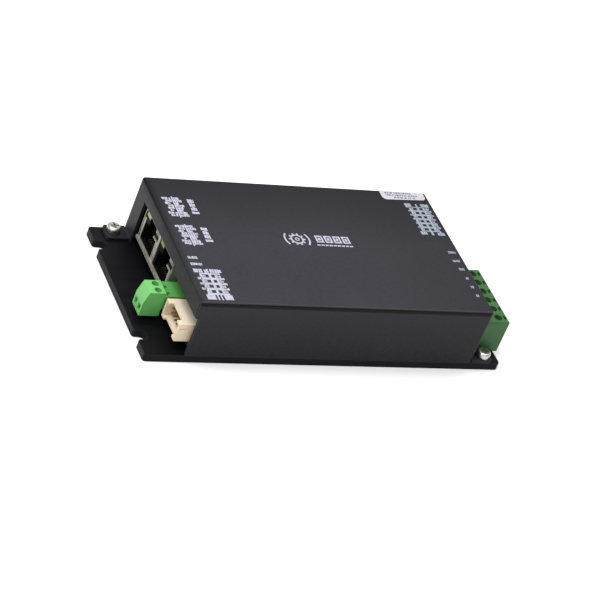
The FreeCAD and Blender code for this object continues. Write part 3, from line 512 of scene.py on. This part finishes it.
def motor_pinout_print():
    lines = ((48.85, 50.75), (52.2, 53.15), (54.6, 57.2))
    mesh, chance = pinout(lines, (25.14, 2.43, 1.45), 6, (47.8, 58.0), 12)
    for x0, x1 in ((47.7, 50.4), (52.3, 53.2), (54.6, 57.8)):
        add_word(mesh, x0, x1, 27.1, 2.4, chance, 0.1, (0.7, 0.9, 1.1))
    stamp(mesh, 49.0, 56.8, 25.87, 26.3)
    stamp(mesh, 48.9, 57.0, 11.75, 12.26)
    for x0, x1 in ((47.9, 50.6), (52.3, 53.3), (55.0, 58.0)):
        add_word(mesh, x0, x1, 10.7, 2.0, chance, 0.1, (0.7, 0.9, 1.1))
    return finish_mesh("motor_pinout_print", mesh, INK_PALE, ROOT)


def jack_legend(name, y_centre, seed):
    """Eight numbered rows beside a line, and four taller words further in."""
    mesh = bmesh.new()
    chance = random.Random(seed)
    rows = 8
    pitch = 1.36
    top = y_centre + rows * pitch / 2
    stamp(mesh, -50.0, -49.4, top - rows * pitch - 0.6, top + 0.4)
    bold = (0.7, 0.9, 1.2)
    for row in range(rows):
        y = top - pitch * (row + 0.5)
        inset = (0.0, 1.1, 0.5, 1.3, 0.9, 1.4, 0.1, 0.7)[row]
        add_word(mesh, -53.8 + inset, -51.2, y, 1.25, chance, 0.14, bold)
        if row not in (2, 5):
            add_word(mesh, -51.1, -50.1, y, 1.3, chance, 0.1, bold)
        end = -46.9 + (0.0, 0.8, -0.9, 0.7, 0.2, -0.6, 0.6, 0.9)[row]
        add_word(mesh, -49.25, end, y, 1.3, chance, 0.14, bold)
    for row, (tall, inset) in enumerate(((2.0, 0.0), (1.9, 0.15), (2.0, 0.1), (1.3, -0.2))):
        y = top - 1.7 - 2.2 * row
        add_word(mesh, -44.1 + inset, -41.6 - inset, y, tall, chance, 0.08, bold)
    return finish_mesh(name, mesh, INK_WHITE, ROOT)


def word_print(name, words, seed, ink):
    """Separate short words, each (x0, x1, y, height)."""
    mesh = bmesh.new()
    chance = random.Random(seed)
    for x0, x1, y, height in words:
        add_word(mesh, x0, x1, y, height, chance)
    return finish_mesh(name, mesh, ink, ROOT)


def arc_outline(x, y, inner, outer, start, end, steps=14):
    """Flat band of a circle between two angles in degrees."""
    angles = [math.radians(start + (end - start) * i / steps) for i in range(steps + 1)]
    outside = [(x + outer * math.cos(a), y + outer * math.sin(a)) for a in angles]
    inside = [(x + inner * math.cos(a), y + inner * math.sin(a)) for a in reversed(angles)]
    return outside + inside


def rotor_mark():
    """A plain toothed ring between two arcs, the general sign for a motor, and blank blocks."""
    mesh = bmesh.new()
    x, y, teeth = -6.7 + PRINT_X, 3.4 + PRINT_Y, 10
    z0, z1 = TOP, TOP + INK
    add_ring(mesh, x, y, 1.95, 2.6, z0, z1)
    add_ring(mesh, x, y, 0.45, 0.95, z0, z1, 32)
    for i in range(teeth):
        angle = 2 * math.pi * i / teeth
        across = Vector((-math.sin(angle), math.cos(angle)))
        along = Vector((math.cos(angle), math.sin(angle)))
        corners = [(2.62, -0.42), (3.35, -0.30), (3.35, 0.30), (2.62, 0.42)]
        outline = [(x + along.x * r + across.x * s, y + along.y * r + across.y * s)
                   for r, s in corners]
        add_prism(mesh, outline, z0, z1)
    for start in (-38, 142):
        add_prism(mesh, arc_outline(x, y, 4.55, 5.25, start, start + 76), z0, z1)
    for i in range(4):
        x0 = 1.0 + 3.65 * i
        stamp(mesh, x0, x0 + 3.0, 5.3, 6.0)
        stamp(mesh, x0, x0 + 3.0, 2.1, 2.8)
        stamp(mesh, x0, x0 + 0.7, 2.81, 5.29)
        stamp(mesh, x0 + 2.3, x0 + 3.0, 2.81, 5.29)
        stamp(mesh, x0 + 1.0, x0 + 2.0, 3.3, 4.8)
    for i in range(9):
        x0 = 0.5 + 1.66 * i
        stamp(mesh, x0, x0 + 1.3, 0.25, 0.95)
    return finish_mesh("motor_mark_print", mesh, INK_WHITE, ROOT)


def label_print():
    """Rows of faint blocks on the seal label."""
    low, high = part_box("seal_label")
    x0, y0 = low[0] / MM, low[1] / MM
    z = high[2] / MM - 0.012
    mesh = bmesh.new()
    chance = random.Random(5)
    for row, (start, end) in enumerate(((5.0, 14.5), (2.4, 15.5), (2.0, 13.0))):
        y = y0 + 1.35 + 1.35 * row
        x = x0 + start
        while x < x0 + end:
            width = chance.choice((0.5, 0.8, 1.1))
            add_bar(mesh, x, x + width, y - 0.4, y + 0.4, z, z + 0.02)
            x += width + chance.choice((0.2, 0.3, 0.6))
    return finish_mesh("seal_label_print", mesh, INK_GREY, ROOT)


def print_cover():
    io_pinout_print()
    motor_pinout_print()
    jack_legend("port_2_legend_print", 18.6, 13)
    jack_legend("port_1_legend_print", 2.9, 14)
    word_print("control_legend_print", [(-54.6, -51.0, -9.8, 1.35), (-54.7, -50.2, -13.3, 1.45)], 15,
               INK_WHITE)
    rows = [(-0.1, 54.9, 58.2), (-5.05, 54.8, 57.9), (-9.8, 55.4, 57.6), (-14.9, 56.0, 57.2),
            (-19.9, 56.0, 57.2), (-24.8, 56.1, 57.4)]
    word_print("power_legend_print", [(x0, x1, y, 1.3) for y, x0, x1 in rows], 16, INK_PALE)
    rotor_mark()
    label_print()


# ---------------------------------------------------------------- studio

CAMERA_PLACE = Vector((-0.455565, -0.675233, 0.559453))
CAMERA_AZIMUTH = math.radians(34.149)
CAMERA_DROP = math.radians(34.386)
CAMERA_ROLL = math.radians(23.06)
CAMERA_LENS = 162.127
FLOOR_REACH = 3.0
WORLD_STRENGTH = 0.68
KEY_WATTS = 9.0
TOP_WATTS = 10.0


def place_camera():
    """Camera at the same place, aim, tilt and field as in the reference view."""
    level = math.cos(CAMERA_DROP)
    forward = Vector((math.sin(CAMERA_AZIMUTH) * level, math.cos(CAMERA_AZIMUTH) * level,
                      -math.sin(CAMERA_DROP)))
    flat_right = forward.cross(Vector((0, 0, 1))).normalized()
    flat_up = flat_right.cross(forward)
    right = flat_right * math.cos(CAMERA_ROLL) + flat_up * math.sin(CAMERA_ROLL)
    up = right.cross(forward)
    turn = Matrix((right, up, -forward)).transposed()
    data = bpy.data.cameras.new("studio_camera")
    data.lens = CAMERA_LENS
    data.sensor_width = 36.0
    data.clip_start = 0.01
    camera = bpy.data.objects.new("studio_camera", data)
    camera.matrix_world = Matrix.Translation(CAMERA_PLACE) @ turn.to_4x4()
    bpy.context.scene.collection.objects.link(camera)
    bpy.context.scene.camera = camera


def area_light(name, place, target, size, power):
    """Rectangular lamp aimed at a point."""
    data = bpy.data.lights.new(name, "AREA")
    data.shape = "RECTANGLE"
    data.size, data.size_y = size
    data.energy = power
    lamp = bpy.data.objects.new(name, data)
    lamp.location = place
    lamp.rotation_mode = "QUATERNION"
    lamp.rotation_quaternion = (Vector(target) - Vector(place)).to_track_quat("-Z", "Y")
    bpy.context.scene.collection.objects.link(lamp)


def build_studio():
    mesh = bmesh.new()
    edge = FLOOR_REACH
    places = ((-edge, -edge), (edge, -edge), (edge, edge), (-edge, edge))
    mesh.faces.new([mesh.verts.new((x, y, 0.0)) for x, y in places])
    data = bpy.data.meshes.new("floor")
    mesh.to_mesh(data)
    mesh.free()
    floor = bpy.data.objects.new("floor", data)
    look = Look("floor_pale", 0.9, specular=0.1)
    look.colour(look.blend(look.noise(0.4), (0.86, 0.86, 0.86), (0.88, 0.88, 0.88)))
    floor.data.materials.append(look.material)
    bpy.context.scene.collection.objects.link(floor)
    world = bpy.data.worlds.new("studio")
    world.use_nodes = True
    background = world.node_tree.nodes["Background"]
    background.inputs["Color"].default_value = (0.95, 0.97, 1.0, 1.0)
    background.inputs["Strength"].default_value = WORLD_STRENGTH
    bpy.context.scene.world = world
    area_light("key", (-0.5, -0.1, 0.9), (0, 0, 0), (0.8, 0.8), KEY_WATTS)
    area_light("top", (0.2, 0.3, 1.2), (0, 0, 0), (1.2, 1.2), TOP_WATTS)
    bpy.context.scene.view_settings.view_transform = "Standard"


dress_nodes()
soften_edges()
print_cover()
place_camera()
build_studio()
